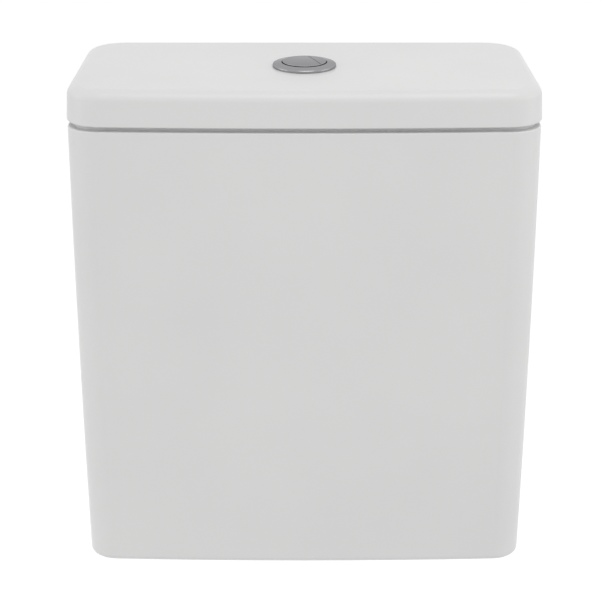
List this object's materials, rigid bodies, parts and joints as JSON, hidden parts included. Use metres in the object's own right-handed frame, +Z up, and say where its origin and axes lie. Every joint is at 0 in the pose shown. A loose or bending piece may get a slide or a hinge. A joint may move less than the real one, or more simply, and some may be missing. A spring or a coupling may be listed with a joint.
{
  "type": "toilet cistern",
  "caption": "Close-coupled ceramic toilet cistern with lift-off lid, chrome dual-flush push button, flush valve, float-operated fill valve and coupling bolts.",
  "frame": {"origin": "on the flush outlet's axis, in the plane of the tank's bottom rim", "axes": "+Z up, +Y towards the wall behind the tank, -Y towards the user, +X to the right as seen by the user"},
  "size_m": [0.3598, 0.1676, 0.423],
  "materials": {
    "glazed_white": "gloss glaze",
    "chrome_bezel": "polished",
    "chrome_satin": "satin",
    "white_plastic": "moulded",
    "blue_plastic": "moulded",
    "float_grey": "moulded",
    "brass": "turned",
    "filter_mesh": "mesh",
    "black_rubber": "matt",
    "red_silicone": "matt",
    "soft_pad": "translucent",
    "zinc_steel": "zinc plated",
    "bright_steel": "drawn"
  },
  "bodies": {
    "cistern": {"tank": "glazed_white", "flush_valve_base": "white_plastic", "valve_floor_washer": "black_rubber", "valve_back_nut": "white_plastic", "coupling_gasket": "black_rubber", "valve_cage": "white_plastic", "valve_tower": "white_plastic", "rocker_pins": "bright_steel", "inlet_tail": "brass", "inlet_washer": "black_rubber", "inlet_back_nut": "white_plastic", "inlet_filter": "filter_mesh", "riser_tube": "white_plastic", "fill_valve_head": "white_plastic", "valve_diaphragm": "black_rubber", "fill_valve_cap": "blue_plastic", "float_lever_pin": "bright_steel", "refill_tube": "white_plastic", "coupling_bolts": "zinc_steel", "bolt_seals": "black_rubber", "bolt_washers": "zinc_steel", "bolt_nuts": "zinc_steel"},
    "lid": {"lid": "glazed_white", "lid_pads": "soft_pad", "button_bezel": "chrome_bezel", "button_housing": "white_plastic", "button_lock_nut": "white_plastic", "full_button_spring": "bright_steel", "half_button_spring": "bright_steel"},
    "full_button": {"full_flush_button": "chrome_satin", "full_flush_rod": "blue_plastic"},
    "half_button": {"half_flush_button": "chrome_satin", "half_flush_rod": "white_plastic"},
    "full_rocker": {"full_flush_rocker": "blue_plastic"},
    "half_rocker": {"half_flush_rocker": "white_plastic"},
    "flush_tube": {"overflow_tube": "white_plastic", "flush_seal": "red_silicone", "full_flush_float": "float_grey", "lift_yoke": "blue_plastic"},
    "half_link": {"half_flush_link": "white_plastic", "half_flush_float": "float_grey"},
    "fill_float": {"fill_float": "float_grey", "float_adjuster": "white_plastic"},
    "float_lever": {"float_lever": "blue_plastic"}
  },
  "joints": [
    {"name": "lid_lift", "type": "slide", "parent": "cistern", "child": "lid", "axis": [0, 0, 1], "range_m": [0, 0.15]},
    {"name": "full_press", "type": "slide", "parent": "lid", "child": "full_button", "axis": [0, 0, -1], "range_m": [0, 0.008], "stiffness_N_per_m": 500, "springref_m": -0.008, "deforming": ["full_button_spring"]},
    {"name": "half_press", "type": "slide", "parent": "lid", "child": "half_button", "axis": [0, 0, -1], "range_m": [0, 0.008], "stiffness_N_per_m": 500, "springref_m": -0.008, "deforming": ["half_button_spring"]},
    {"name": "full_rocker_turn", "type": "hinge", "parent": "cistern", "child": "full_rocker", "pos_m": [-0.02802, 0, 0.3], "axis": [0, 1, 0], "range_deg": [0, 33.21]},
    {"name": "half_rocker_turn", "type": "hinge", "parent": "cistern", "child": "half_rocker", "pos_m": [0.02802, 0, 0.3], "axis": [0, -1, 0], "range_deg": [0, 33.21]},
    {"name": "seal_lift", "type": "slide", "parent": "cistern", "child": "flush_tube", "axis": [0, 0, 1], "range_m": [0, 0.016]},
    {"name": "half_link_lift", "type": "slide", "parent": "cistern", "child": "half_link", "axis": [0, 0, 1], "range_m": [0, 0.016]},
    {"name": "float_rise", "type": "slide", "parent": "cistern", "child": "fill_float", "axis": [0, 0, 1], "range_m": [0, 0.014]},
    {"name": "float_lever_turn", "type": "hinge", "parent": "cistern", "child": "float_lever", "pos_m": [-0.14, 0, 0.3085], "axis": [0, -1, 0], "range_deg": [0, 20.69]}
  ],
  "couplings": [
    {"joint": "full_rocker_turn", "follows": "full_press", "rad_per_m": 72.438},
    {"joint": "seal_lift", "follows": "full_press", "ratio": 2},
    {"joint": "half_rocker_turn", "follows": "half_press", "rad_per_m": 72.438},
    {"joint": "half_link_lift", "follows": "half_press", "ratio": 2},
    {"joint": "float_lever_turn", "follows": "float_rise", "rad_per_m": 25.781}
  ]
}
